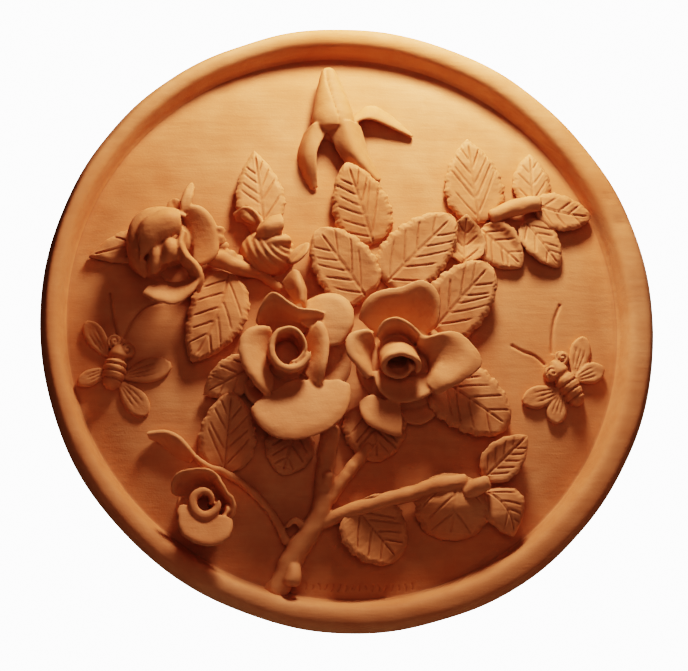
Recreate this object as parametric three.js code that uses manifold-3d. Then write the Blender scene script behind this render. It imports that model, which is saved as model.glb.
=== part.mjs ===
// A round terracotta wall plaque, modelled by hand and fired as one piece: a dish with a half-round rim and
// a gently domed field, which carries four roses, two buds, rose leaves, forked stems and two bees.
//
// Millimetres. The wall is the plane Y = 0 and the plaque stands out of it towards -Y, with +Z up.
// A place on the plaque is written [x, z], and "out" is a distance out of the wall. "Lift" is a distance
// out of the field at that place. Angles are in degrees, anticlockwise from +X as the plaque is looked at.

import * as THREE from "three";
import { mergeVertices } from "three/addons/utils/BufferGeometryUtils.js";
import Module from "manifold-3d";

// Driving sizes of the dish
const PLAQUE_RADIUS = 175;
const BACK_RADIUS = 164;
const WIDEST_OUT = 12;
const RIM_CREST_RADIUS = 167;
const RIM_CREST_OUT = 22;
const GROOVE_RADIUS = 158;
const GROOVE_OUT = 10;
const FIELD_CENTRE_OUT = 19;
const DISH_STEPS = 40;

// Driving sizes of the clay that is laid on it
const LEAF_BEVEL = 1.8;
const PETAL_THICKNESS = 2.6;
const PETAL_ROUNDING = 0.25;
const SEPAL_THICKNESS = 2.4;
const TUBE_RADIUS = 11;
const TUBE_WALL = 3.2;
const BURIED = 1.5;

const TERRACOTTA = new THREE.MeshStandardMaterial({ color: "#c98550", roughness: 0.82, metalness: 0 });

const radians = THREE.MathUtils.degToRad;

// How far the field stands out of the wall at a place
function fieldOut(x, z) {
  const share = Math.min(1, Math.hypot(x, z) / GROOVE_RADIUS);
  return GROOVE_OUT + (FIELD_CENTRE_OUT - GROOVE_OUT) * (1 - share * share);
}

function spot(x, z, out) {
  return new THREE.Vector3(x, -out, z);
}

// A value that runs from start through middle to end as t goes from 0 to 1
function through([start, middle, end], t) {
  const bulge = middle - (start + end) / 2;
  return start + (end - start) * t + 4 * bulge * t * (1 - t);
}

// Moves every corner of a closed geometry and leaves only its positions, with shared corners merged
function remap(geometry, move) {
  geometry.deleteAttribute("normal");
  geometry.deleteAttribute("uv");
  const merged = mergeVertices(geometry, 1e-5);
  const corners = merged.attributes.position;
  const corner = new THREE.Vector3();
  for (let i = 0; i < corners.count; i++) {
    corner.fromBufferAttribute(corners, i);
    const moved = move(corner);
    corners.setXYZ(i, moved.x, moved.y, moved.z);
  }
  return merged;
}

// A closed sheet. faces(along, across) gives its front and back point, along from 0 to 1, across from -1 to 1.
function sheet(faces, alongSteps, acrossSteps) {
  const block = new THREE.BoxGeometry(1, 1, 1, acrossSteps, alongSteps, 1);
  return remap(block, (corner) => {
    const { front, back } = faces(corner.y + 0.5, 2 * corner.x);
    return corner.z > 0 ? front : back;
  });
}

// The two faces of a sheet of even thickness about a middle surface
function evenFaces(middle, thickness) {
  const step = 1e-3;
  return (along, across) => {
    const here = middle(along, across);
    const up = middle(along + step, across).sub(middle(along - step, across));
    const side = middle(along, across + step).sub(middle(along, across - step));
    const half = side.cross(up).normalize().multiplyScalar(thickness / 2);
    return { front: here.clone().add(half), back: here.clone().sub(half) };
  };
}

// How wide a leaf is along its length, as a share of its full width: round at the base, pointed at the tip.
// A belly under 1 puts the widest place near the base, and over 1 near the tip.
function leafOutline(along, belly = 0.75) {
  const inside = THREE.MathUtils.clamp(along, 0.02, 0.985);
  return Math.pow(Math.sin(Math.PI * Math.pow(inside, belly)), 0.66);
}

// The top surface of a leaf. lift is its height over the field at base, middle and tip, cup raises both
// margins over the midrib, tilt raises the right margin and lowers the left, bend bows the midrib to the right.
function leafSurface({ base, tip, width, lift, cup = 0, tilt = 0, bend = 0, belly }) {
  const run = new THREE.Vector2(tip[0] - base[0], tip[1] - base[1]);
  const ahead = run.clone().normalize();
  const right = new THREE.Vector2(ahead.y, -ahead.x);
  return (along, across) => {
    const share = leafOutline(along, belly);
    const reach = (width / 2) * share * across + 4 * bend * along * (1 - along);
    const x = base[0] + run.x * along + right.x * reach;
    const z = base[1] + run.y * along + right.y * reach;
    const raise = cup * across * across + tilt * across;
    return spot(x, z, fieldOut(x, z) + through(lift, along) + raise * share);
  };
}

// The place straight behind a point of the relief that is just under the surface of the field
function bedded(front) {
  return spot(front.x, front.z, fieldOut(front.x, front.z) - BURIED);
}

// A leaf pressed on to the field, with bevelled margins
function leaf(spec) {
  const top = leafSurface(spec);
  const faces = (along, across) => {
    const turned = Math.sign(across) * Math.pow(Math.abs(across), 0.5);
    const front = top(along, turned);
    front.y += LEAF_BEVEL * Math.pow(Math.abs(turned), 3);
    return { front, back: bedded(front) };
  };
  return sheet(faces, 4, 4);
}

// A sepal: a thin pointed sheet, arched across by a negative cup, that stands free of the field but for its base
function sepal(spec) {
  const even = evenFaces(leafSurface(spec), SEPAL_THICKNESS);
  const faces = (along, across) => {
    const { front, back } = even(along, across);
    return { front, back: along < 0.1 ? bedded(front) : back };
  };
  return sheet(faces, 4, 2);
}

// The middle surface of a petal that grows round a rose's centre. It rises from its foot to its lip. A curl
// over 1 rises first and then flares, and under 1 it spreads first and then rises.
function petalSurface({ centre, angle, spread, foot, reach, out, curl, wave = 0, lean = [0, 0] }) {
  const [footOut, lipOut] = out;
  return (along, across) => {
    const grown = along * (1 - PETAL_ROUNDING * Math.pow(across, 4));
    const opening = 0.6 + 0.4 * Math.sin((Math.PI / 2) * along);
    const half = (spread / 2) * opening * (1 - 0.2 * Math.pow(along, 5));
    const turn = radians(angle - half * across);
    const rise = Math.pow(Math.max(grown, 0), 1 / curl);
    const radius = foot + (reach - foot) * Math.pow(Math.max(grown, 0), curl);
    const ripple = wave * Math.sin(4 * across + radians(angle)) * grown * grown;
    const x = centre[0] + radius * Math.cos(turn) + lean[0] * rise;
    const z = centre[1] + radius * Math.sin(turn) + lean[1] * rise;
    return spot(x, z, footOut + (lipOut - footOut) * rise + ripple);
  };
}

function petal(spec) {
  const middle = petalSurface(spec);
  const inset = (along, across) => middle(0.02 + 0.98 * along, across);
  return sheet(evenFaces(inset, PETAL_THICKNESS), 3, 4);
}

// Turns a geometry built along +Y so that it stands at a place and points along an axis [x, z, out]
function stand(geometry, [x, z, out], axis) {
  const upright = new THREE.Vector3(0, 1, 0);
  const turn = new THREE.Quaternion().setFromUnitVectors(upright, spot(...axis).normalize());
  return geometry.applyQuaternion(turn).translate(x, -out, z);
}

// The rolled heart of a rose: a tube with an open mouth
function heart({ mouth, axis, radius = TUBE_RADIUS, length, depth }) {
  const bore = radius - TUBE_WALL;
  const profile = [
    [0, -length],
    [radius * 0.9, -length],
    [radius, -1],
    [radius - TUBE_WALL / 2, 0],
    [bore, -1],
    [bore * 0.9, -depth],
    [0, -depth],
  ].map(([r, y]) => new THREE.Vector2(r, y));
  return stand(new THREE.LatheGeometry(profile, 9), mouth, axis);
}

// A rounded mound of clay on the field, cut off flat inside the dish
function mound([x, z], across, up, out, turn = 0, steps = 8) {
  const ball = new THREE.SphereGeometry(1, steps, steps - 2);
  ball.scale(across, out, up).rotateY(-radians(turn));
  const centreOut = fieldOut(x, z);
  return remap(ball, (corner) => {
    const standsOut = Math.max(centreOut - corner.y, centreOut - 3 * BURIED);
    return spot(x + corner.x, z + corner.z, standsOut);
  });
}

// A stem: a round strand through places [x, z, lift of its axis], tapering between two radii
function stem({ places, radii: [startRadius, endRadius] }) {
  const route = new THREE.CatmullRomCurve3(places.map(([x, z, lift]) => spot(x, z, fieldOut(x, z) + lift)));
  const strand = new THREE.CylinderGeometry(1, 1, 1, 6, 2 * places.length - 3);
  return remap(strand, (corner) => {
    const share = corner.y + 0.5;
    const ahead = route.getTangentAt(share);
    const right = new THREE.Vector3().crossVectors(ahead, spot(0, 0, 1)).normalize();
    const outward = new THREE.Vector3().crossVectors(right, ahead);
    const radius = startRadius + (endRadius - startRadius) * share;
    return route
      .getPointAt(share)
      .addScaledVector(right, corner.x * radius)
      .addScaledVector(outward, corner.z * radius);
  });
}

// A pointed bud that lies on the field, as a turned spindle from base to tip
function spindle(base, tip, profile) {
  const length = Math.hypot(tip[0] - base[0], tip[1] - base[1]);
  const points = profile.map(([share, radius]) => new THREE.Vector2(radius, share * length));
  const axis = [tip[0] - base[0], tip[1] - base[1], tip[2] - base[2]];
  return stand(new THREE.LatheGeometry(points, 9), base, axis);
}

// The dish: a flat back, a rounded side, a half-round rim, a groove inside it and a domed field
function dish() {
  const field = [0.85, 0.5].map((share) => {
    const radius = share * GROOVE_RADIUS;
    return [radius, fieldOut(radius, 0)];
  });
  const inner = RIM_CREST_RADIUS - GROOVE_RADIUS;
  const profile = [
    [0, 0],
    [BACK_RADIUS, 0],
    [PLAQUE_RADIUS - 3, WIDEST_OUT * 0.3],
    [PLAQUE_RADIUS, WIDEST_OUT],
    [PLAQUE_RADIUS - 1.8, RIM_CREST_OUT - 4],
    [RIM_CREST_RADIUS + 3.5, RIM_CREST_OUT - 0.8],
    [RIM_CREST_RADIUS, RIM_CREST_OUT],
    [RIM_CREST_RADIUS - inner * 0.45, RIM_CREST_OUT - 2.2],
    [GROOVE_RADIUS + inner * 0.15, GROOVE_OUT + 5.5],
    [GROOVE_RADIUS - 2, GROOVE_OUT],
    ...field,
    [0, FIELD_CENTRE_OUT],
  ].map(([radius, out]) => new THREE.Vector2(radius, out));
  return new THREE.LatheGeometry(profile, DISH_STEPS).rotateX(Math.PI);
}

// Leaves round the two big roses, and the cluster at the upper right
const LEAVES = [
  { base: [12, 45], tip: [-4, 90], width: 34, lift: [7, 9, 7], cup: -1 },
  { base: [8, 13], tip: [-20, 49], width: 35, lift: [11, 12, 10], cup: 1 },
  { base: [19, 22], tip: [56, 60], width: 36, lift: [8, 9, 8], cup: 1 },
  { base: [64, 34], tip: [65, 63], width: 22, lift: [5, 5, 8], cup: 4 },
  { base: [46, -4], tip: [77, 32], width: 36, lift: [10, 11, 11], cup: 1 },
  { base: [71, 61], tip: [67, 108], width: 36, lift: [9, 8, 5], cup: 1 },
  { base: [103, 73], tip: [103, 102], width: 23, lift: [7, 7, 5] },
  { base: [106, 71], tip: [138, 65], width: 21, lift: [8, 10, 9], cup: 2, bend: 2 },
  { base: [100, 60], tip: [119, 36], width: 23, lift: [8, 10, 8], cup: 1 },
  { base: [74, 54], tip: [100, 34], width: 25, lift: [7, 7, 6], cup: 3, tilt: -2 },
  { base: [47, -32], tip: [87, -58], width: 37, lift: [7, 10, 8] },
  { base: [11, -48], tip: [14, -80], width: 36, lift: [5, 6, 4] },
  { base: [-32, -62], tip: [-39, -87], width: 28, lift: [4, 5, 4] },
  // Round the half-open rose and the folded bud
  { base: [-116, 43], tip: [-148, 33], width: 18, lift: [8, 7, 6], cup: 1 },
  { base: [-70, 25], tip: [-90, -24], width: 33, lift: [7, 9, 7], bend: -3 },
  { base: [-51, 53], tip: [-56, 97], width: 28, lift: [10, 8, 6] },
  { base: [-42, 28], tip: [-24, 43], width: 13, lift: [8, 9, 9] },
  // Round the small rose
  { base: [-71, -87], tip: [-68, -44], width: 31, lift: [5, 8, 9] },
  { base: [-55, -28], tip: [-82, -44], width: 22, lift: [9, 11, 9], cup: 3 },
  // On the lower branch
  { base: [3, -106], tip: [24, -134], width: 37, lift: [10, 9, 5], cup: -1 },
  { base: [60, -86], tip: [53, -124], width: 37, lift: [12, 10, 3], cup: -3 },
  { base: [75, -87], tip: [98, -64], width: 24, lift: [8, 9, 13], cup: 3 },
  { base: [73, -97], tip: [91, -118], width: 22, lift: [9, 11, 12], cup: -1, bend: -5 },
];

const SEPALS = [
  // Under the pointed bud at the top
  { base: [-3, 113], tip: [34, 109], width: 15, lift: [9, 14, 10], cup: -4, tilt: 5, bend: -4 },
  { base: [-8, 111], tip: [13, 78], width: 17, lift: [11, 16, 17], cup: -5 },
  { base: [-18, 111], tip: [-23, 73], width: 17, lift: [8, 14, 11], cup: -5, tilt: 4, bend: -5 },
  // Beside the folded bud and over the left rose
  { base: [-50, 50], tip: [-70, 57], width: 15, lift: [8, 12, 14], cup: -3, tilt: -5 },
  { base: [-29, 4], tip: [-38, 26], width: 16, lift: [13, 15, 12], cup: -3 },
  // The narrow leaf that stands on its edge by the small rose
  { base: [-87, -82], tip: [-116, -70], width: 19, lift: [6, 10, 13], tilt: 7, bend: 2 },
  // The thin spike over the half-open rose
  { base: [-96, 56], tip: [-92, 75], width: 6, lift: [9, 14, 13] },
];

const LEFT_ROSE = {
  centre: [-37, -25],
  mound: [30, 29, 15],
  hearts: [{ mouth: [-39, -22, 42], axis: [0, 0.05, 1], length: 26, depth: 17 }],
  petals: [
    { angle: 186, spread: 112, reach: 25, out: [22, 36], curl: 1.9, foot: 14 },
    { angle: 98, spread: 104, reach: 35, out: [20, 38], curl: 0.8, foot: 10, wave: 2 },
    { angle: 2, spread: 116, reach: 22, out: [20, 42], curl: 1, foot: 12, lean: [3, 0] },
    { angle: 42, spread: 72, reach: 46, out: [22, 35], curl: 1.2, foot: 16 },
    { angle: 281, spread: 122, reach: 48, out: [22, 37], curl: 0.8, foot: 12 },
    { angle: 204, spread: 64, reach: 31, out: [18, 30], curl: 1.2, foot: 14 },
  ],
};

const RIGHT_ROSE = {
  centre: [30, -22],
  mound: [30, 28, 15],
  hearts: [{ mouth: [25.5, -31, 42], axis: [0, -0.55, 1], length: 26, depth: 15 }],
  petals: [
    { angle: 112, spread: 160, reach: 19, out: [20, 43], curl: 0.9, foot: 13, wave: 1, lean: [-3, 2] },
    { angle: 352, spread: 92, reach: 40, out: [22, 37], curl: 1.5, foot: 16, wave: 2 },
    { angle: 268, spread: 160, reach: 25, out: [20, 34], curl: 1, foot: 14 },
    { angle: 178, spread: 76, reach: 33, out: [20, 38], curl: 1, foot: 16 },
    { angle: 97, spread: 106, reach: 42, out: [20, 34], curl: 0.8, foot: 18, wave: 2 },
    { angle: 241, spread: 56, reach: 45, out: [19, 29], curl: 1.1, foot: 18 },
  ],
};

// Its two outer petals close over it from the upper left, and its mouth looks down to the right
const HALF_OPEN_ROSE = {
  centre: [-102, 34],
  mound: [19, 19, 10],
  hearts: [],
  petals: [
    { angle: 152, spread: 196, foot: 22, reach: 8, out: [15, 38], curl: 2, lean: [-2, 0] },
    { angle: 128, spread: 130, foot: 15, reach: 3, out: [22, 41], curl: 2, lean: [-2, -1] },
    { angle: 18, spread: 96, foot: 15, reach: 25, out: [15, 33], curl: 0.9 },
    { angle: 6, spread: 104, foot: 9, reach: 12, out: [16, 38], curl: 1 },
    { angle: 252, spread: 112, foot: 13, reach: 32, out: [16, 35], curl: 0.8 },
  ],
};

const SMALL_ROSE = {
  centre: [-82, -108],
  mound: [15, 15, 12],
  hearts: [{ mouth: [-82.5, -108, 36], axis: [0, 0, 1], radius: 9, length: 22, depth: 13 }],
  petals: [
    { angle: 108, spread: 112, reach: 21, out: [16, 33], curl: 0.9, foot: 12 },
    { angle: 2, spread: 92, reach: 17, out: [16, 32], curl: 1, foot: 12 },
    { angle: 262, spread: 136, reach: 22, out: [16, 34], curl: 0.9, foot: 11 },
  ],
};

const STEMS = [
  // The main stem from its cut foot, and its two upper arms
  { places: [[-40, -156, 5], [-31, -128, 6], [-18, -112, 6], [-16, -96, 6]], radii: [5.8, 4.6] },
  { places: [[-17, -99, 6], [-17, -80, 7], [-13, -62, 8]], radii: [4.8, 4.2] },
  { places: [[-14, -101, 6], [-4, -90, 7], [10, -72, 8]], radii: [4.2, 3.6] },
  // The lower branch to the right
  { places: [[-18, -113, 6], [-3, -108, 8], [25, -101, 9], [50, -93, 10], [66, -91, 10]], radii: [4, 4.6] },
  // Cut stubs and a thorn
  { places: [[-32, -138, 4], [-34, -153, 15]], radii: [4.6, 4.2] },
  { places: [[-14, -96, 4], [-14, -88, 13]], radii: [3, 2.6] },
  { places: [[-27, -118, 5], [-33, -115, 9], [-38, -117, 9]], radii: [3, 1.4] },
  { places: [[61, -99, 9], [70, -95, 12], [78, -92, 16]], radii: [3.8, 3.4] },
  // To the small rose, the half-open rose and the cluster at the upper right
  { places: [[-93, -80, 4], [-80, -84, 5], [-60, -95, 5], [-45, -113, 5], [-33, -130, 5]], radii: [2.8, 3.4] },
  { places: [[-88, 29, 8], [-76, 28, 9], [-60, 25, 9], [-48, 24, 8]], radii: [4, 3.4] },
  { places: [[66, 58, 5], [84, 65, 8], [109, 70, 8]], radii: [3.4, 3.6] },
];

const LEFT_BEE = {
  head: [-129.5, -20],
  tail: [-136, -40],
  girth: 6,
  eyes: [[-133, -17], [-125.5, -22]],
  wings: [
    { base: [-136, -25], tip: [-149, -5], width: 12, lift: [5, 6, 5], cup: 1 },
    { base: [-135, -30], tip: [-152, -39], width: 10, lift: [5, 6, 6] },
    { base: [-130, -34], tip: [-101, -28], width: 15, lift: [5, 6, 4] },
    { base: [-131, -36], tip: [-114, -54], width: 15, lift: [5, 6, 4] },
  ],
};

const RIGHT_BEE = {
  head: [117.5, -23],
  tail: [132, -40.5],
  girth: 5.4,
  eyes: [[120, -19], [113, -28.5]],
  wings: [
    { base: [127, -28], tip: [135, -4], width: 13, lift: [4, 4, 3] },
    { base: [126, -30], tip: [145, -22], width: 12, lift: [6, 7, 6] },
    { base: [121, -36], tip: [96, -43], width: 13, lift: [6, 7, 7] },
    { base: [121, -37], tip: [115, -55], width: 13, lift: [5, 6, 6] },
  ],
};

function rose({ centre, mound: [across, up, out], hearts, petals }) {
  const grown = petals.map((spec) => petal({ ...spec, centre }));
  return [mound(centre, across, up, out), ...hearts.map(heart), ...grown];
}

// The pointed bud: a wrapped spindle that lies on the field
function pointedBud() {
  const profile = [[-0.12, 0], [0, 9], [0.2, 12.4], [0.45, 11], [0.75, 6], [0.94, 2], [1, 0]];
  return [spindle([-11.5, 110, 25], [-14, 150, 24], profile)];
}

// The folded bud: a ball with a folded petal over it
function foldedBud() {
  const fold = { base: [-60, 46], tip: [-36, 56], width: 22, lift: [14, 18, 15], cup: -4, tilt: -2 };
  return [mound([-49, 40], 15, 14, 18, 20), sepal(fold)];
}

function bee({ head, tail, girth, eyes, wings }) {
  const heading = Math.atan2(head[1] - tail[1], head[0] - tail[0]);
  const length = Math.hypot(head[0] - tail[0], head[1] - tail[1]);
  const middle = [(head[0] + tail[0]) / 2, (head[1] + tail[1]) / 2];
  const body = new THREE.SphereGeometry(1, 8, 6).rotateZ(Math.PI / 2);
  body.scale(length / 2 + 2, girth * 1.5, girth).rotateY(-heading);
  body.translate(middle[0], -fieldOut(...middle) - girth * 0.4, middle[1]);
  const knobs = eyes.map((place) => mound(place, 4.4, 4.4, 8, 0, 5));
  const blades = wings.map((spec) => sheet(beeWing({ ...spec, belly: 1.3 }), 3, 2));
  return [body, ...knobs, ...blades];
}

// The two faces of a bee's wing, a small blade pressed on to the clay
function beeWing(spec) {
  const top = leafSurface(spec);
  return (along, across) => {
    const front = top(along, across);
    return { front, back: bedded(front) };
  };
}

const wasm = await Module();
wasm.setup();

function solidOf(geometry) {
  geometry.deleteAttribute("normal");
  geometry.deleteAttribute("uv");
  const merged = mergeVertices(geometry, 1e-4);
  return new wasm.Manifold(
    new wasm.Mesh({
      numProp: 3,
      vertProperties: merged.attributes.position.array,
      triVerts: new Uint32Array(merged.index.array),
    }),
  );
}

function geometryOf(solid) {
  const { vertProperties, triVerts } = solid.getMesh();
  const geometry = new THREE.BufferGeometry();
  geometry.setAttribute("position", new THREE.BufferAttribute(vertProperties, 3));
  geometry.setIndex(new THREE.BufferAttribute(triVerts, 1));
  geometry.computeVertexNormals();
  return geometry;
}

// All the clay that is laid on the dish, joined to it as it is in the fired piece
function plaque() {
  const roses = [LEFT_ROSE, RIGHT_ROSE, HALF_OPEN_ROSE, SMALL_ROSE];
  const laidOn = [
    ...LEAVES.map(leaf),
    ...SEPALS.map(sepal),
    ...STEMS.map(stem),
    ...roses.flatMap(rose),
    ...pointedBud(),
    ...foldedBud(),
    ...bee(LEFT_BEE),
    ...bee(RIGHT_BEE),
  ];
  const joined = laidOn.map(solidOf).reduce((whole, piece) => whole.add(piece), solidOf(dish()));
  const mesh = new THREE.Mesh(geometryOf(joined), TERRACOTTA);
  mesh.name = "rose_plaque";
  return mesh;
}

const part = new THREE.Group();
part.add(plaque());

export default part;
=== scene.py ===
import math

import bmesh
import bpy
import numpy as np
from mathutils import Matrix, Vector


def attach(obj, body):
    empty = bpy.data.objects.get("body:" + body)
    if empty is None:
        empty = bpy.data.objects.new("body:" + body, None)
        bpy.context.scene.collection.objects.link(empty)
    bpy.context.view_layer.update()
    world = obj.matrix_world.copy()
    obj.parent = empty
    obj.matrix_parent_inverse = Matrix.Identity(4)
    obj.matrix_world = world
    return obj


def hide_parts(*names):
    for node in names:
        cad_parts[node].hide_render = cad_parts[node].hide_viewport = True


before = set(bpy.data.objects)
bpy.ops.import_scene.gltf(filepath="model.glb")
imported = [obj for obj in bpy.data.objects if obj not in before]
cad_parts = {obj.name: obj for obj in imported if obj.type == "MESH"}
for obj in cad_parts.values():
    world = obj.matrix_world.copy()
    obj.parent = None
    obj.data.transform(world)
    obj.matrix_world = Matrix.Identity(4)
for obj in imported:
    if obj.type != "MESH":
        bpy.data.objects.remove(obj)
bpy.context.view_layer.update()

# A round terracotta wall plaque, modelled by hand and fired as one piece: a dish with a raised rim and a
# gently domed field, which carries four roses, two buds, rose leaves, forked stems and two bees.
#
# Shapes are worked out in millimetres. The wall is the plane Y = 0 and the plaque stands out of it towards
# -Y, with +Z up. A place on the plaque is written (x, z), and "out" is a distance out of the wall. "Lift" is
# a distance out of the field at that place. Angles are in degrees, anticlockwise from +X as the plaque is
# looked at. A list of stations holds values at equal steps along a length or an arc, joined by a smooth
# curve. A seed picks the hand's unevenness.

NODE = "rose_plaque"
MM = 0.001

# Driving sizes of the dish. Its groove was turned a little off its centre.
PLAQUE_RADIUS = 175
BACK_RADIUS = 164
WIDEST_OUT = 12
RIM_CREST_RADIUS = 167
RIM_CREST_OUT = 22
GROOVE_RADIUS = 158
GROOVE_OUT = 10
GROOVE_SHIFT = (-2.5, 1.0)
FIELD_CENTRE_OUT = 19

# Driving sizes of the clay that is laid on it
PETAL_THICKNESS = 2.3
SEPAL_THICKNESS = 2.2
LEAF_WALL = 3.0
LEAF_MARGIN = 3.6
LEAF_BEVEL = 1.9
WING_WALL = 1.8
WING_MARGIN = 1.6
WING_BEVEL = 1.1
BURIED = 1.5

# Driving sizes of what is pressed into it. A width is half of the cut's.
MIDRIB_WIDTH = 0.55
VEIN_WIDTH = 0.48
VEIN_DEPTH = 0.85
NICK_PITCH = 1.75
NICK_DEPTH = 0.42
WING_CUT = dict(half_width=0.42, depth=0.7)
RING_CUT = dict(half_width=0.6, depth=0.95)
ANTENNA_CUT = dict(half_width=0.85, depth=0.9)
STROKE_CUT = dict(half_width=0.5, depth=0.35)

# Mesh spacings and counts
BEE_GRAIN = 0.5
LEAF_GRAIN = 0.58
SHEET_GRAIN = 0.6
ROSE_GRAIN = 0.7
STEM_GRAIN = 0.75
STEM_STEP = 1.1
STEM_SIDES = 18
DISH_SIDES = 400


def field_out(x, z):
    """How far the field stands out of the wall at a place."""
    share = np.minimum(1, np.hypot(x, z) / GROOVE_RADIUS)
    return GROOVE_OUT + (FIELD_CENTRE_OUT - GROOVE_OUT) * (1 - share**2)


def spots(x, z, out):
    """Points in the plaque's frame from places and distances out of the wall."""
    x, z, out = np.broadcast_arrays(x, z, out)
    return np.stack([x, -out, z], -1).astype(float)


def smooth(low, high, value):
    """Runs smoothly from 0 at low to 1 at high."""
    share = np.clip((np.asarray(value, float) - low) / (high - low), 0, 1)
    return share * share * (3 - 2 * share)


def stations(values, share):
    """A smooth curve through equally spaced values, which are numbers or points, at shares from 0 to 1."""
    values = np.atleast_1d(np.asarray(values, float))
    if len(values) == 1:
        values = np.repeat(values, 2, 0)
    ends = [[2 * values[0] - values[1]], values, [2 * values[-1] - values[-2]]]
    padded = np.concatenate(ends)
    place = np.clip(np.asarray(share, float), 0, 1) * (len(values) - 1)
    first = np.minimum(place.astype(int), len(values) - 2)
    t = (place - first).reshape(place.shape + (1,) * (values.ndim - 1))
    before, start, end, after = (padded[first + i] for i in range(4))
    leave = (end - before) / 2
    arrive = (after - start) / 2
    bend = 2 * start - 2 * end + leave + arrive
    return start + t * (leave + t * (3 * (end - start) - 2 * leave - arrive + t * bend))


def unevenness(points, size, seed=0):
    """Soft random waves of about one size, between about -1 and 1, at an array of points."""
    random = np.random.default_rng(seed)
    total = 0
    for _ in range(7):
        direction = random.normal(size=3)
        direction *= random.uniform(0.7, 1.5) * 2 * math.pi / (size * np.linalg.norm(direction))
        total = total + np.sin(points @ direction + random.uniform(0, 2 * math.pi))
    return total / 3.5


# Closed meshes, each as an array of points and a list of faces

def closed_sheet(front, back):
    """A closed sheet from two matching grids of points."""
    rows, columns = front.shape[:2]
    grid = np.arange(rows * columns).reshape(rows, columns)
    quads = np.stack([grid[:-1, :-1], grid[:-1, 1:], grid[1:, 1:], grid[1:, :-1]], -1).reshape(-1, 4)
    rim = np.concatenate([grid[0, :-1], grid[:-1, -1], grid[-1, :0:-1], grid[:0:-1, 0]])
    following = np.roll(rim, -1)
    behind = rows * columns
    walls = np.stack([following, rim, rim + behind, following + behind], -1)
    faces = np.concatenate([quads, quads[:, ::-1] + behind, walls])
    return np.concatenate([front.reshape(-1, 3), back.reshape(-1, 3)]), faces


def closed_rings(rings):
    """A closed tube or lathe from a grid of rings, with one point in the middle of each end."""
    rows, columns = rings.shape[:2]
    grid = np.arange(rows * columns).reshape(rows, columns)
    after = np.roll(grid, -1, 1)
    quads = np.stack([grid[:-1], after[:-1], after[1:], grid[1:]], -1).reshape(-1, 4)
    first, last = rows * columns, rows * columns + 1
    fan = np.stack([np.full(columns, first), after[0], grid[0], grid[0]], -1)
    lid = np.stack([np.full(columns, last), grid[-1], after[-1], after[-1]], -1)
    points = np.concatenate([rings.reshape(-1, 3), [rings[0].mean(0), rings[-1].mean(0)]])
    return points, np.concatenate([quads, fan, lid])


def joined(shapes):
    """Several closed meshes as one."""
    points, faces, count = [], [], 0
    for shape_points, shape_faces in shapes:
        points.append(shape_points)
        faces.append(shape_faces + count)
        count += len(shape_points)
    return np.concatenate(points), np.concatenate(faces)


def normals_of(grid):
    """Unit normals of a grid of points, on the side that faces out of the wall in the middle."""
    along = np.gradient(grid, axis=0)
    across = np.gradient(grid, axis=1)
    normal = np.cross(along, across)
    normal /= np.maximum(np.linalg.norm(normal, axis=-1, keepdims=True), 1e-9)
    return normal if normal[..., 1].mean() < 0 else -normal


def even_sheet(middle, thickness):
    """A closed sheet of one thickness about a grid of points, thinner at its margins."""
    rows, columns = middle.shape[:2]
    along = np.linspace(0, 1, rows)[:, None]
    across = np.linspace(-1, 1, columns)[None, :]
    edge = np.minimum(1, np.minimum((1 - along) * rows, (1 - np.abs(across)) * columns / 2) / 3)
    half = normals_of(middle) * thickness / 2 * (0.45 + 0.55 * np.sqrt(edge))[..., None]
    return closed_sheet(middle + half, middle - half)


def evenly(size):
    """Shares from 0 to 1 for a stretch of a sheet."""
    return np.linspace(0, 1, max(10, int(size / SHEET_GRAIN)))


def quilt(rows, thickness=PETAL_THICKNESS, seed=0):
    """A sheet of clay through a small net of places (x, z, out)."""
    net = spots(*np.moveaxis(np.array(rows, float), -1, 0))
    length = np.linalg.norm(np.diff(net, axis=0), axis=-1).sum(0).max()
    width = np.linalg.norm(np.diff(net, axis=1), axis=-1).sum(1).max()
    lengthwise = stations(net, evenly(length))
    middle = stations(lengthwise.swapaxes(0, 1), evenly(width)).swapaxes(0, 1)
    middle = middle + normals_of(middle) * (0.12 * unevenness(middle, 8, seed))[..., None]
    return even_sheet(middle, thickness)


def mound(place, across, up, out, turn=0, base=None, steps=28):
    """A rounded mound of clay at a place, out of the field unless a base is given."""
    height = np.linspace(0, math.pi, steps)[1:-1, None]
    around = np.linspace(0, 2 * math.pi, 2 * steps, endpoint=False)[None, :]
    a, b = across * np.sin(height) * np.cos(around), up * np.sin(height) * np.sin(around)
    c, s = math.cos(math.radians(turn)), math.sin(math.radians(turn))
    base = field_out(*place) if base is None else base
    rise = np.maximum(base + out * np.cos(height), 2.0)
    return closed_rings(spots(place[0] + a * c - b * s, place[1] + a * s + b * c, rise))


def framed(axis):
    """Two directions square to an axis (x, z, out), and the axis itself, as unit vectors."""
    ahead = spots(*axis)
    ahead /= np.linalg.norm(ahead)
    side = np.cross(ahead, [0.0, 0.0, 1.0]) if abs(ahead[2]) < 0.9 else np.cross(ahead, [1.0, 0.0, 0.0])
    side /= np.linalg.norm(side)
    return side, np.cross(side, ahead), ahead


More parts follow.
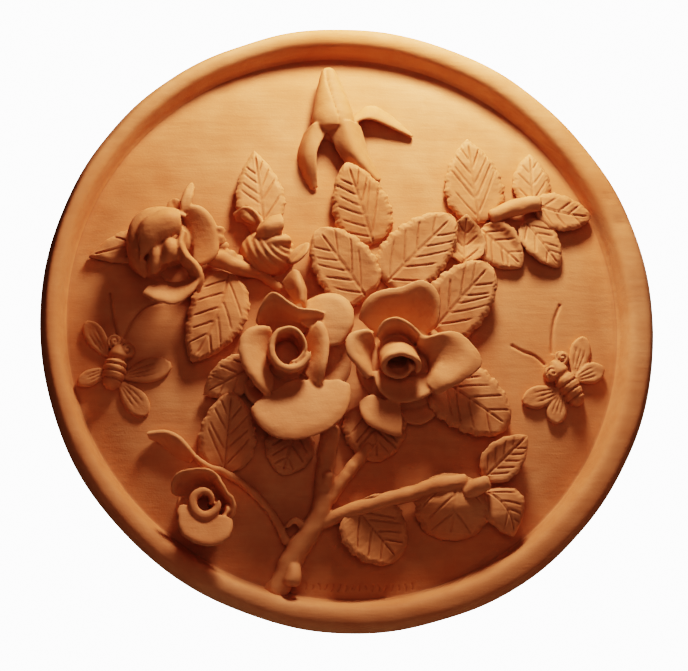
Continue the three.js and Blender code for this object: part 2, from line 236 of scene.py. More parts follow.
def tube(route, radii, rough=0.0, seed=0):
    """A strand of clay along a route of points, with rounded ends."""
    route = np.asarray(route, float)
    length = np.linalg.norm(np.diff(route, axis=0), axis=1).sum()
    share = np.linspace(0, 1, max(6, int(length / STEM_STEP)))
    centres = stations(route, share)
    ahead = np.gradient(centres, axis=0)
    ahead /= np.linalg.norm(ahead, axis=1, keepdims=True)
    side = np.cross(ahead, [0.0, -1.0, 0.0])
    side /= np.maximum(np.linalg.norm(side, axis=1, keepdims=True), 1e-6)
    other = np.cross(side, ahead)
    radius = stations(radii, share)
    from_end = np.minimum(share, 1 - share) * length
    radius = radius * np.sqrt(1 - (1 - np.clip(from_end / 2.5 + 0.25, 0, 1)) ** 2)
    around = np.linspace(0, 2 * math.pi, STEM_SIDES, endpoint=False)
    spread = side[:, None] * np.cos(around)[:, None] + other[:, None] * np.sin(around)[:, None]
    rings = centres[:, None] + spread * radius[:, None, None]
    rings = rings + spread * (rough * unevenness(rings, 9, seed))[..., None]
    return closed_rings(rings)


# Leaves

def leaf_outline(along, widest=0.38, point=0.7):
    """A leaf's width along its length: round at the base, pointed at the tip."""
    inside = np.clip(along, 0.012, 0.994)
    rounding = point * widest / (1 - widest)
    return (inside / widest) ** rounding * ((1 - inside) / (1 - widest)) ** point


def leaf_frame(base, tip):
    """A leaf's length, the direction it grows in and the direction to its right."""
    run = np.subtract(tip, base).astype(float)
    length = np.hypot(*run)
    ahead = run / length
    return length, ahead, np.array([ahead[1], -ahead[0]])


def beside(base, ahead, right, run, side):
    """Places some way ahead of a base and some way to its right."""
    return base[0] + ahead[0] * run + right[0] * side, base[1] + ahead[1] * run + right[1] * side


def underside(front, ground, to_margin, wall, thin, sunk):
    """How far out the back of a pad is: a wall behind its front up to thin from its margin, which leaves it
    undercut, and down in the field from sunk onwards."""
    under = smooth(thin, sunk, to_margin)
    back_out = (1 - under) * (-front[..., 1] - wall) + under * (ground - BURIED)
    return np.maximum(back_out, ground - BURIED)


def groove(distance, half_width, depth):
    """A cut pressed into clay, with a slight burr along both sides."""
    cut = np.exp(-((distance / half_width) ** 2))
    burr = np.exp(-(((np.abs(distance) - 1.9 * half_width) / (0.7 * half_width)) ** 2))
    return depth * (0.16 * burr - cut)


def veins(run, side, half, length, counts, slants, seed):
    """The midrib and the side veins left and right of it, as depths under a leaf's surface."""
    random = np.random.default_rng(seed)
    share = run / length
    ends = smooth(0.0, 0.06, share) * (1 - smooth(0.86, 0.94, share))
    depth = groove(side, MIDRIB_WIDTH, VEIN_DEPTH * 1.2) * ends
    for mirror, count, slant in zip((-1, 1), counts, slants):
        for i in range(count):
            start = length * (0.08 + 0.68 * (i + random.uniform(-0.2, 0.2)) / max(1, count - 0.4))
            angle = math.radians(slant + random.uniform(-5, 5) - 2 * i)
            reach = mirror * side
            bow = random.uniform(0.0, 0.014) * reach**2
            off = (run - start) * math.sin(angle) - reach * math.cos(angle) - bow
            end = random.uniform(0.72, 0.9)
            seen = smooth(0.2, 1.4, reach) * (1 - smooth(end - 0.14, end, reach / np.maximum(half, 0.1)))
            depth = depth + groove(off, VEIN_WIDTH, VEIN_DEPTH * random.uniform(0.75, 1.1)) * seen
    return depth


def nicks(run, to_margin, seed):
    """Short cuts, side by side, that cross a leaf's bevelled margin."""
    random = np.random.default_rng(seed)
    wander = 0.5 * np.sin(run * 0.55 + random.uniform(0, 6)) + 0.3 * np.sin(run * 1.3)
    phase = (run + 0.75 * to_margin + wander) / NICK_PITCH
    away = np.abs(phase % 1 - 0.5)
    cut = np.clip(1 - away / 0.26, 0, 1) ** 1.4
    return -NICK_DEPTH * cut * (1 - smooth(0.7 * LEAF_MARGIN, LEAF_MARGIN, to_margin))


def leaf(base, tip, width, lift, cup=0, tilt=0, bend=0, widest=0.38, point=0.7, counts=(4, 4),
         slants=(48, 48), curl=(0, 0), nicked=1.0, seed=1):
    """A leaf: a pad of clay with a bevelled and nicked margin, undercut, that sits on the field."""
    length, ahead, right = leaf_frame(base, tip)
    along = np.linspace(0, 1, int(length / LEAF_GRAIN))[:, None]
    across = np.linspace(-1, 1, int(width / LEAF_GRAIN))[None, :]
    across = np.sign(across) * np.abs(across) ** 0.85
    share = leaf_outline(along, widest, point)
    half = width / 2 * share
    run = along * length + 0 * across
    ragged = 1 + 0.03 * np.sin(run * 0.8 + seed) + 0.015 * np.sin(run * 2.1 + 2 * seed)
    side = half * across * ragged
    x, z = beside(base, ahead, right, run, side + 4 * bend * along * (1 - along))
    to_margin = np.minimum(half * (1 - np.abs(across)), (1 - along) * length * 0.7 + 0 * across)
    to_margin = np.minimum(to_margin, along * length * 0.9 + 0.3 + 0 * across)
    bowl = cup * across**2 + tilt * across
    bowl = bowl + curl[0] * smooth(0.4, 1.0, -across) + curl[1] * smooth(0.4, 1.0, across)
    height = stations(lift, along) + bowl * share
    fall = np.clip(1 - to_margin / LEAF_MARGIN, 0, 1)
    height = height - LEAF_BEVEL * fall**2
    height = height + veins(run, side, half, length, counts, slants, seed)
    height = height + nicked * nicks(run, to_margin, seed)
    ground = field_out(x, z)
    front = spots(x, z, ground + height)
    front[..., 1] += 0.2 * unevenness(front, 14, seed) + 0.05 * unevenness(front, 5, seed + 7)
    back_out = underside(front, ground, to_margin, LEAF_WALL, 1.2, 4.2)
    inward = 0.6 * (1 - smooth(0, 1.5, to_margin)) * np.sign(across)
    return closed_sheet(front, spots(x - right[0] * inward, z - right[1] * inward, back_out))


def sepal(base, tip, width, lift, cup=0, tilt=0, rib=0.5, seed=3):
    """A thin pointed leaf that stands free of the field, arched across by a negative cup."""
    length, ahead, right = leaf_frame(base, tip)
    along = np.linspace(0, 1, int(length / 0.7))[:, None]
    across = np.linspace(-1, 1, max(15, int(width / SHEET_GRAIN)))[None, :]
    share = leaf_outline(along, widest=0.45)
    side = width / 2 * share * across
    x, z = beside(base, ahead, right, along * length, side)
    height = stations(lift, along) + (cup * across**2 + tilt * across) * share
    middle = spots(x, z, field_out(x, z) + height)
    middle[..., 1] += 0.25 * unevenness(middle, 8, seed) - groove(side, 0.7, rib)
    return even_sheet(middle, SEPAL_THICKNESS)


# Roses

def petal(centre, arc, foot, foot_out, reach, lip, curl=1.0, belly=0.0, roll=0.0, seed=0,
          thickness=PETAL_THICKNESS, ragged=0.0):
    """A petal that grows round a rose's centre, over an arc of it, from its foot to its lip. reach and lip
    are stations of the lip's outer edge from the centre and out of the wall. A curl over 1 rises before it
    spreads, belly swells it outwards halfway up and roll turns its lip back."""
    start, end = arc
    count = int(math.radians(abs(end - start)) * np.max(np.abs(reach)) / 0.9) + 12
    share = np.linspace(0, 1, count)[None, :]
    along = np.linspace(0, 1, 26)[:, None]
    lip_radius = stations(reach, share) - thickness / 2 - 0.6 * roll
    lip_out = stations(lip, share)
    foot_radius = stations(foot, share)
    narrow = 0.86 + 0.14 * smooth(0, 0.6, along)
    turn = np.radians((start + end) / 2 + (end - start) * (share - 0.5) * narrow)
    corner = 1 - 0.1 * (2 * np.abs(share - 0.5)) ** 6
    grown = along * corner
    radius = foot_radius + (lip_radius - foot_radius) * grown**curl + belly * np.sin(np.pi * grown)
    out = foot_out + (lip_out - foot_out) * grown ** (1 / curl)
    turned = roll * smooth(0.72, 1.0, along)
    radius = radius + 0.6 * turned
    out = out - 1.2 * turned * smooth(0.8, 1.0, along)
    notch = ragged * smooth(0.75, 1.0, along) * unevenness(spots(turn * 20, radius * 0, out * 0), 4.5, seed)
    x = centre[0] + (radius + notch) * np.cos(turn)
    z = centre[1] + (radius + notch) * np.sin(turn)
    middle = spots(x, z, out)
    middle += normals_of(middle) * (0.15 * unevenness(middle, 20, seed))[..., None]
    return even_sheet(middle, thickness)


def rolled_heart(mouth, axis, start, turn, radii, depth, thickness, squash=1.0):
    """The rolled heart of a rose: a strip of clay coiled about an axis, from its outer end to its inner.
    radii and thickness are stations along the strip."""
    ahead = framed(axis)[2]
    count = int(abs(math.radians(turn)) * max(radii) / 0.7)
    share = np.linspace(0, 1, count)[:, None]
    down = np.linspace(0, 1, 24)[None, :]
    around = np.radians(start + turn * share)
    flare = 1.0 - 0.1 * smooth(0, 0.35, down) + 0.05 * down
    radius = stations(radii, share) * flare
    drop = depth * down + 2.2 * smooth(0.7, 1.0, share) * (1 - down)
    rightwards = np.array([1.0, 0, 0])
    upwards = np.array([0, 0, 1.0]) * squash
    spread = np.cos(around)[..., None] * rightwards + np.sin(around)[..., None] * upwards
    flat = spread - (spread @ ahead)[..., None] * ahead
    middle = spots(*mouth) + flat * radius[..., None] - ahead * drop[..., None]
    flat /= np.linalg.norm(flat, axis=-1, keepdims=True)
    middle += flat * (0.3 * unevenness(middle, 9, 5))[..., None]
    half = flat * stations(thickness, share)[..., None] / 2
    round_lip = np.sqrt(1 - (1 - np.clip(down * depth / 1.8 + 0.1, 0, 1)) ** 2)
    ends = np.clip(np.minimum(share, 1 - share) * count / 5 + 0.25, 0, 1)
    swell = (round_lip * ends)[..., None]
    return closed_sheet(middle + half * swell, middle - half * swell)


LEFT_CENTRE = (-38, -24)
RIGHT_CENTRE = (30, -24)
HALF_OPEN_CENTRE = (-102, 35)
SMALL_CENTRE = (-82, -107)


def left_rose():
    """The large rose on the left, whose heart looks straight out."""
    petals = [
        dict(arc=(121, 247), foot=[13, 12, 12, 14], foot_out=29.5, reach=[21, 28.5, 28, 26.5, 28],
             lip=[34, 36, 38, 38.5, 35], curl=1.2, roll=1.6, ragged=0.25),
        dict(arc=(132, 50), foot=16, foot_out=21, reach=[28, 33, 37, 31, 28, 30, 35],
             lip=[32, 37, 40, 40.5, 40, 39, 37], curl=0.85, roll=0.8),
        dict(arc=(50, -46), foot=13, foot_out=21, reach=[30, 26.5, 24, 24, 28],
             lip=[37, 38.5, 39.5, 39.5, 36], curl=1.5, roll=1.6),
        dict(arc=(72, 14), foot=[20, 20, 18], foot_out=32, reach=[36, 46, 49, 44, 33],
             lip=[27, 30, 32, 33, 31], curl=1.0, roll=1.8, belly=1.0),
        dict(arc=(237, 336), foot=[24, 16, 14, 17, 25], foot_out=31, reach=[40, 49, 49.5, 47.5, 41],
             lip=[34, 40, 41.5, 40.5, 36], curl=1.0, belly=-0.6, roll=1.0),
        dict(arc=(200, 240), foot=18, foot_out=17, reach=[26, 31, 33], lip=[24, 24, 23], roll=1),
        dict(arc=(26, -36), foot=16, foot_out=19, reach=[33, 38, 38, 37, 31], lip=[28, 28, 27, 27, 26]),
    ]
    shapes = [petal(LEFT_CENTRE, seed=10 + i, **spec) for i, spec in enumerate(petals)]
    shapes.append(rolled_heart((-37, -20.8, 42), (0, 0.04, 1), 350, -440, [11, 11, 10.7, 9.9, 8.4, 7],
                               24, [3, 4.4, 3.6, 2.6, 2.2, 2.2], squash=1.1))
    shapes += [mound(LEFT_CENTRE, 27, 26, 3), mound((-32, -45), 3, 2, 2.4, base=32, steps=12)]
    # The folded bract that stands above the rose
    shapes.append(quilt([
        [(-41, 19, 27), (-33.5, 25.5, 32), (-27, 15, 27)],
        [(-37, 12.5, 28), (-31.5, 16, 35), (-27, 9, 29)],
        [(-33, 6, 29), (-30, 6, 34), (-28, 3, 29)],
    ], seed=18))
    return shapes


def right_rose():
    """The large rose on the right, whose heart looks down and whose lip waves out to the right."""
    petals = [
        dict(arc=(139, 51), foot=19, foot_out=21, reach=[39, 43, 43, 42.5, 47, 43, 30],
             lip=[29, 34, 35, 35.5, 36, 34.5, 31], curl=0.9, roll=1.2),
        dict(arc=(146, 41), foot=[15, 14, 12, 10, 9, 9], foot_out=23, reach=[24, 26, 24.5, 20, 16.5, 15, 19],
             lip=[36, 40, 42.5, 43, 42, 42, 41], curl=0.9, roll=1),
        dict(arc=(66, -54), foot=[9, 10, 12, 13, 14, 15], foot_out=26,
             reach=[15, 17, 31, 37.5, 42, 35, 30, 28.5],
             lip=[42, 41.5, 39, 38, 38.5, 39.5, 39.5, 36], curl=1.8, roll=1.6),
        dict(arc=(200, 338), foot=[13, 9, 9, 10, 12], foot_out=27.5, reach=[22, 26, 26.5, 25, 24, 22],
             lip=[30.5, 32.5, 31.5, 33, 33.5, 31], curl=1.0, belly=0.6, roll=0.5),
        dict(arc=(145, 207), foot=[21, 21.5, 21, 20], foot_out=24, reach=[30, 37.5, 37, 31.5, 28],
             lip=[37, 38, 39, 38, 34], curl=1.3, roll=1.6),
        dict(arc=(221, 265), foot=[28, 26, 26], foot_out=28.5, reach=[38.5, 44.5, 45, 46],
             lip=[28.5, 31, 31.5, 31], curl=1.0, roll=0.4),
        dict(arc=(262, 318), foot=18, foot_out=17, reach=[33, 37, 35, 30], lip=[21, 22, 22, 21]),
    ]
    shapes = [petal(RIGHT_CENTRE, seed=30 + i, **spec) for i, spec in enumerate(petals)]
    shapes.append(rolled_heart((24.5, -30.5, 41), (0, -0.8, 1), -30, 400, [10.2, 10, 9.6, 8.4, 5.5], 24,
                               [3.2, 3.6, 3.6, 3, 2.4]))
    shapes.append(mound(RIGHT_CENTRE, 28, 27, 7))
    return shapes


def half_open_rose():
    """The half-open rose: two shells close over it from the upper left, and its mouth looks down right."""
    petals = [
        dict(arc=(70, 226), foot=[17, 21, 25, 22, 19, 17], foot_out=15, reach=[20, 20, 20, 20, 18.5, 16.5],
             lip=[34, 35.5, 36, 36, 35, 32], curl=1.7, belly=4.5),
        dict(arc=(237, 327), foot=[20, 18.5, 18.5, 18, 15], foot_out=29.5,
             reach=[33, 33.5, 33.5, 29.5, 25, 21], lip=[33.5, 36.5, 37.5, 38, 37, 35], curl=1.0, roll=0.6,
             ragged=0.15),
        dict(arc=(82, -26), foot=[21, 15, 13, 12, 12], foot_out=25.5, reach=[27, 31, 30.5, 28, 26, 19],
             lip=[33, 33, 31.5, 30.5, 30, 28], curl=1.1, roll=1.2),
    ]
    shapes = [petal(HALF_OPEN_CENTRE, seed=50 + i, **spec) for i, spec in enumerate(petals)]
    # The inner shell, laid over the ball with a step along its upper edge
    shapes.append(quilt([
        [(-121.5, 45, 33), (-121, 40, 37), (-120.5, 35, 37.5), (-120, 27, 34)],
        [(-118.6, 50, 35), (-117, 45.5, 40.5), (-115.5, 39, 41), (-114.8, 33, 37.5)],
        [(-113.5, 53.8, 36.5), (-111.5, 48.5, 42.5), (-109.8, 43, 42.5), (-109, 38, 39)],
        [(-106.5, 56.5, 37), (-105.6, 51, 43), (-104.5, 45.5, 42.5), (-104, 40.5, 39.5)],
        [(-99, 56, 36), (-98.5, 51.5, 41), (-98, 47, 40.5), (-97.5, 43, 37.5)],
    ], 3.4, seed=59))
    # The folded petals in its mouth, left to right, and the one whose lip curls down to the bottom petal
    shapes.append(quilt([
        [(-112.5, 36.5, 34), (-110.5, 37, 38), (-107, 37.5, 37)],
        [(-115, 31, 34), (-112.5, 31.5, 39), (-108, 32, 37.5)],
        [(-116, 25.5, 32), (-113.4, 25, 37.5), (-108.6, 26, 37)],
        [(-114.5, 21, 30), (-112.5, 20, 34), (-108.8, 22, 34)],
    ], seed=60))
    shapes.append(quilt([
        [(-107.6, 38.5, 37), (-104.5, 39.5, 39.5), (-99, 38.5, 36.5)],
        [(-109, 34, 37.5), (-104, 35, 42), (-97.8, 35, 37.5)],
        [(-109.8, 29.5, 37), (-104, 30.5, 41.5), (-97.8, 32, 37)],
        [(-109.5, 25, 35), (-104.5, 26, 37.5), (-98, 29, 35)],
    ], seed=61))
    shapes.append(quilt([
        [(-98, 44, 31), (-96.6, 44.5, 39), (-94.5, 44.5, 32)],
        [(-100.5, 36, 34), (-98.4, 36.5, 41), (-95.5, 37, 33)],
        [(-98, 28, 33), (-95.6, 29.5, 41), (-92.5, 31, 33)],
        [(-93.5, 22.5, 31), (-90.6, 25, 39), (-87.8, 26.5, 32)],
        [(-91, 17, 30), (-87.4, 19.5, 37), (-84.8, 19, 30)],
        [(-91.5, 12, 28), (-89.2, 12.5, 34), (-87.5, 10.5, 29)],
    ], 2.2, seed=62))
    # Its sepals: a spike, a low one beside it and two ragged tips by the stem
    shapes += [
        sepal((-97, 57), (-91.5, 75.5), 6, [18, 18, 13], cup=-1.5, seed=64),
        sepal((-98, 52), (-102.5, 67), 12, [9, 11, 10], tilt=2, seed=65),
        sepal((-81, 45), (-72.5, 49), 6, [9, 13, 10], cup=-1, tilt=-2, seed=66),
        sepal((-80, 41), (-72, 43.5), 6, [9, 12, 9], cup=-1, tilt=-2, seed=67),
    ]
    shapes += [mound((-107, 43.5), 20, 16, 19), mound((-114, 38), 13.5, 15, 19), mound((-95, 32), 15, 15, 3)]
    return shapes


def small_rose():
    """The small rose at the lower left, coiled like a snail, with a narrow leaf above it."""
    petals = [
        dict(arc=(162, 63), foot=12, foot_out=16, reach=[21, 24, 21.5, 20, 18], lip=[25, 30, 32, 32, 32],
             curl=0.9, roll=0.6, thickness=2.2),
        dict(arc=(69, -34), foot=11, foot_out=16, reach=[19, 15.5, 14.5, 17, 18, 18],
             lip=[32, 32, 31.5, 30, 28], curl=1.1, roll=0.8, ragged=0.4, thickness=2.2),
        dict(arc=(184, 329), foot=[8, 7, 7, 7, 8], foot_out=30.5, reach=[16, 18.5, 23, 24.5, 25.5, 24, 19],
             lip=[30, 33, 34.5, 35, 35, 34, 30], curl=0.9, roll=0.6, ragged=0.3),
        dict(arc=(0, -58), foot=10, foot_out=18, reach=[13, 14, 13, 12], lip=[29, 30, 29, 28], thickness=2),
    ]
    shapes = [petal(SMALL_CENTRE, seed=70 + i, **spec) for i, spec in enumerate(petals)]
    shapes.append(rolled_heart((-82.3, -106.5, 33.5), (0.02, 0.02, 1), 8, -390, [7.6, 7.4, 7, 6, 3], 14,
                               [3.4, 4.8, 4.8, 3.6, 2.6]))
    shapes.append(mound(SMALL_CENTRE, 15, 15, 5))
    shapes.append(quilt([
        [(-114.5, -66, 18), (-113.5, -67, 17), (-112, -68, 15)],
        [(-104, -65, 20), (-104, -68, 18), (-104, -73, 12)],
        [(-95.5, -69, 21), (-96, -73, 18), (-97.5, -79, 11)],
        [(-86.5, -78.5, 18), (-87.5, -80, 16), (-89, -82, 12)],
    ], 3.4, seed=78))
    return shapes


# Buds

def pointed_bud():
    """The pointed bud at the top: a wrapped spindle, half sunk in the field, on three hollow sepals."""
    base, tip = np.array([-10, 109.5, 20]), np.array([-13.8, 149.5, 20])
    side, other, ahead = framed(tip - base)
    length = np.linalg.norm(tip - base)
    share = np.linspace(0, 1, 90)[:, None]
    around = np.linspace(0, 2 * math.pi, 110, endpoint=False)[None, :]
    radius = stations([10, 12, 12.2, 11, 9.7, 8.2, 6.6, 4.9, 2.8], share)
    radius = radius * np.sqrt(np.clip(share / 0.08, 0.05, 1)) * np.sqrt(np.clip((1 - share) / 0.04, 0.05, 1))
    seam = stations([-0.1, -0.12, 0, 0.2, 0.45, 0.75], share)
    turned = (around - (math.pi + seam)) / (2 * math.pi) % 1
    radius = radius + 1.2 * (0.5 - turned) - 1.9 * np.exp(-(((1 - turned) * radius * 6.3 / 0.9) ** 2))
    spread = side * np.cos(around)[..., None] + other * np.sin(around)[..., None]
    spread[..., 1] *= 0.74
    rings = spots(*base) + ahead * (share * length)[..., None] + spread * radius[..., None]
    sepals = [
        [[(-2, 118, 15), (-1, 117, 20), (-3, 113, 22)],
         [(10, 129, 13), (9, 123, 20), (7, 118, 23)],
         [(21, 125.5, 13), (19, 121, 18.5), (16, 117, 21)],
         [(36, 111.5, 14.5), (35.5, 111, 16), (35, 110, 16.5)]],
        [[(5, 115, 19), (-4.5, 115.5, 27), (-15, 112.5, 22)],
         [(9.5, 100, 17), (0, 99.5, 27), (-8, 97.5, 21)],
         [(13.5, 91, 16), (6.5, 89.5, 24.5), (1.5, 88, 19)],
         [(17, 84, 15), (14.5, 82.5, 19), (12, 82.5, 17)]],
        [[(-27, 110, 15), (-21.5, 114, 24.5), (-13.5, 112.5, 22)],
         [(-30.5, 98, 14), (-27, 98.5, 23), (-20.5, 97.5, 25)],
         [(-28.5, 87, 14), (-25.5, 87, 21), (-20.5, 86.5, 23)],
         [(-23, 76.5, 14), (-21.8, 76.5, 18), (-19.5, 78, 18)]],
    ]
    shapes = [closed_rings(rings)]
    shapes += [quilt(rows, SEPAL_THICKNESS, seed=80 + i) for i, rows in enumerate(sepals)]
    shapes.append(mound((-10, 111), 11, 5, 7))
    return shapes


def folded_bud():
    """The folded bud in the upper left: a ribbed ball with petals folded over it."""
    points, faces = mound((-48, 38), 16, 13.5, 15, steps=60)
    away = np.hypot(points[:, 2] - 46, points[:, 0] + 37)
    points[:, 1] += 0.6 * np.cos(away * 2 * math.pi / 3.5) * smooth(14, 20, -points[:, 1])
    shapes = [(points, faces)]
    folds = [
        [[(-56, 43.5, 27), (-55, 48, 30), (-52.5, 52.5, 28)],
         [(-49.5, 44, 32), (-49, 50, 34.5), (-47.5, 56, 31)],
         [(-42, 45, 31), (-40, 51.5, 34.5), (-41.5, 58.5, 30)]],
        [[(-52, 37, 26), (-52, 40, 30), (-53, 43, 28)],
         [(-45, 38.5, 29), (-44.5, 42, 33), (-44, 45, 30)],
         [(-36, 40, 26), (-35.5, 43.5, 30), (-38.5, 47, 28)]],
        [[(-68, 59.5, 22), (-67, 58.5, 19), (-66, 57, 16)],
         [(-62, 63, 26), (-61, 60, 22), (-60, 55, 16)],
         [(-56, 60.5, 28), (-56, 56, 24), (-57, 50, 17)],
         [(-51, 54.5, 28), (-52.5, 50, 26), (-55, 45, 20)]],
    ]
    shapes += [quilt(rows, seed=90 + i) for i, rows in enumerate(folds)]
    shapes.append(sepal((-36, 30), (-25.5, 43), 7, [9, 10, 9], cup=2, tilt=2, seed=94, rib=0.9))
    return shapes


# Stems

def on_field(places):
    """Points over the field from (x, z, lift)."""
    places = np.asarray(places, float)
    x, z, lift = places.T
    return spots(x, z, field_out(x, z) + lift)


def stems():
    """The forked stem, its branches, cut stubs and thorns."""
    strands = [
        # The main stem from its cut foot, and its two upper arms
        ([(-42, -155, 1), (-38, -147, 1.5), (-31, -131, 2), (-20, -114, 3), (-15, -98, 3.5)],
         [5.6, 6.4, 6.6, 6, 5.4]),
        ([(-16, -102, 3), (-15, -84, 3.5), (-12, -60, 4)], [5.4, 5.4, 5.4]),
        ([(-14, -103, 3), (-4, -89, 3), (10, -70, 3)], [4.2, 3.8, 3.6]),
        # The lower branch to the right
        ([(-20, -116, 3), (-6, -110, 5), (12, -104, 7), (30, -99, 8), (48, -93.5, 9), (64, -91, 9)],
         [3.8, 4.2, 4.4, 4.4, 5, 4.6]),
        # Cut stubs, a thorn and a hooked spur
        ([(-32, -137, 4), (-32.5, -144, 8), (-34, -150, 9.5)], [3.6, 4.4, 4]),
        ([(-14, -94, 5), (-14, -88, 11)], [3.4, 2.6]),
        ([(-27, -117, 3), (-32, -114, 6), (-37, -117.5, 5)], [2.6, 2, 1.3]),
        ([(62, -98, 9), (69, -94, 12), (76, -91.5, 14)], [4.4, 4.8, 4.2]),
        # To the small rose, the half-open rose and the cluster at the upper right
        ([(-88, -79, 6), (-80, -85, 6), (-70, -88, 4), (-56, -97, 1.5), (-44, -110, 1.5), (-36, -126, 3)],
         [1.8, 2, 2.1, 2.4, 2.6, 3]),
        ([(-82, 33, 5), (-74, 32, 8), (-65, 28, 7), (-52, 25, 2.5), (-40, 17, 1)],
         [4.2, 5.2, 4.4, 3.2, 2.6]),
        ([(79, 63, 5), (94, 69, 7.5), (109, 73, 7)], [4, 5, 4.4]),
    ]
    shapes = [tube(on_field(places), radii, rough=0.35, seed=i) for i, (places, radii) in enumerate(strands)]
    shapes.append(mound((-41, -152), 7, 7.5, 5, -15))
    # Rough crumbs of clay where the half-open rose meets its stem
    for i, (x, z, lift) in enumerate([(-75, 40, 8), (-71, 34, 9), (-66, 31, 7)]):
        shapes.append(mound((x, z), 5, 3.4, 3, 25 * i, base=field_out(x, z) + lift, steps=14))
    return shapes


# Bees

def wing(base, tip, width, lift, cup=0, tilt=0, seed=0):
    """A bee's wing: a small rounded blade with grooves that fan out from its root."""
    length, ahead, right = leaf_frame(base, tip)
    along = np.linspace(0, 1, int(length / 0.4))[:, None]
    across = np.linspace(-1, 1, int(width / 0.38))[None, :]
    half = width / 2 * np.sin(np.pi * np.clip(along, 0.03, 0.985) ** 1.4) ** 0.55
    side = half * across
    x, z = beside(base, ahead, right, along * length, side)
    height = stations(lift, along) + (cup * across**2 + tilt * across) * half / (width / 2)
    to_margin = np.minimum(half * (1 - np.abs(across)), (1 - along) * length)
    height = height - WING_BEVEL * np.clip(1 - to_margin / WING_MARGIN, 0, 1) ** 2
    seen = smooth(0.08, 0.2, along) * (1 - smooth(0.55, 0.75, along))
    for fan in (-0.42, 0.0, 0.4):
        height = height + groove(side - fan * half, **WING_CUT) * seen
    ground = field_out(x, z)
    front = spots(x, z, ground + height)
    front[..., 1] += 0.12 * unevenness(front, 5, seed)
    return closed_sheet(front, spots(x, z, underside(front, ground, to_margin, WING_WALL, 0.6, 2.2)))


def coiled_eye(place, radius, out, hand=1):
    """A bee's eye: a strand of clay coiled into a small domed disc."""
    reach = np.linspace(0.06, 1, 22)[:, None]
    around = np.linspace(0, 2 * math.pi, 64, endpoint=False)[None, :]
    phase = (reach * 1.6 - hand * around / (2 * math.pi)) % 1
    dome = out * (1 - 0.22 * reach**2) * np.sqrt(np.clip((1.03 - reach) / 0.12, 0, 1))
    rise = dome - 1.5 * np.clip(1 - np.abs(phase - 0.5) / 0.3, 0, 1) ** 0.7
    ground = field_out(*place)
    x, z = radius * np.cos(around), radius * np.sin(around)
    top = spots(place[0] + reach * x, place[1] + reach * z, ground + np.maximum(rise, 0.5))
    foot = spots(place[0] + x, place[1] + z, ground - BURIED)
    return closed_rings(np.concatenate([top, foot]))


def bee(head, tail, girth, eyes, wings, rings, seed=0):
    """A bee: a ringed body on the field, coiled eyes and four wings."""
    length, ahead, right = leaf_frame(tail, head)
    share = np.linspace(0, 1, 90)[:, None]
    around = np.linspace(0, 2 * math.pi, 72, endpoint=False)[None, :]
    body = girth * np.sin(np.pi * np.clip(share, 0.01, 0.99) ** 0.9) ** 0.36
    body = body * (1 - 0.22 * np.exp(-(((share - 0.66) / 0.05) ** 2)))
    for ring in rings:
        body = body + groove((share - ring) * length, **RING_CUT)
    x, z = beside(tail, ahead, right, length * share, body * np.cos(around))
    lift = girth * 0.35 + 1.35 * body * np.sin(around)
    shapes = [closed_rings(spots(x, z, np.maximum(field_out(x, z) + lift, 4)))]
    shapes += [coiled_eye(place, radius, out, hand) for place, radius, out, hand in eyes]
    shapes += [wing(seed=seed + i, **spec) for i, spec in enumerate(wings)]
    return shapes


LEFT_BEE = dict(
    head=(-129, -16), tail=(-135, -41.5), girth=6.6, rings=[0.2, 0.36, 0.5, 0.62],
    eyes=[((-132.8, -15), 4.2, 7, 1), ((-126, -20), 4.8, 8.5, -1)],
    wings=[
        dict(base=(-136, -24), tip=(-149, -3), width=11, lift=[3, 4, 3.4], cup=1, tilt=1.5),
        dict(base=(-135, -30), tip=(-153, -38.5), width=9.5, lift=[4, 4, 3.4]),
        dict(base=(-129, -35), tip=(-101, -27), width=14, lift=[3, 3, 2]),
        dict(base=(-130, -37), tip=(-114, -56), width=13.5, lift=[3, 3, 2]),
    ],
)

RIGHT_BEE = dict(
    head=(114.5, -19.5), tail=(131, -44), girth=6.4, rings=[0.17, 0.32, 0.47],
    eyes=[((120, -17.8), 4.5, 7.5, -1), ((114, -27), 4.4, 8.5, 1)],
    wings=[
        dict(base=(127, -28), tip=(134.5, -4), width=12.5, lift=[3, 2.6, 2.2]),
        dict(base=(127, -30), tip=(145.5, -22), width=12, lift=[4, 4, 3.6]),
        dict(base=(120.5, -36), tip=(97, -43.5), width=13, lift=[4, 4, 3.6]),
        dict(base=(120, -38), tip=(115, -55.5), width=12, lift=[4, 4, 3.4]),
    ],
)


# Leaves, in the clusters that they grow in

LEAVES_ABOVE = [
    dict(base=(12, 45), tip=(-4, 91), width=34, lift=[3, 8, 12], cup=-1, counts=(6, 4), slants=(60, 33)),
    dict(base=(8, 13), tip=(-21, 50), width=36, lift=[4, 9, 13], cup=1, counts=(5, 3), slants=(54, 37),
         point=0.55),
    dict(base=(19, 22), tip=(57, 61), width=36, lift=[4, 8, 12], cup=1, counts=(4, 5), slants=(46, 46),
         point=0.55),
    dict(base=(64, 35), tip=(65, 63), width=23, lift=[6, 4, 11], cup=6, counts=(3, 3),
         nicked=0.6, point=0.9),
    dict(base=(46, -4), tip=(78, 33), width=36, lift=[3, 8, 12.5], cup=1, counts=(4, 5), slants=(42, 48),
         point=0.5),
]

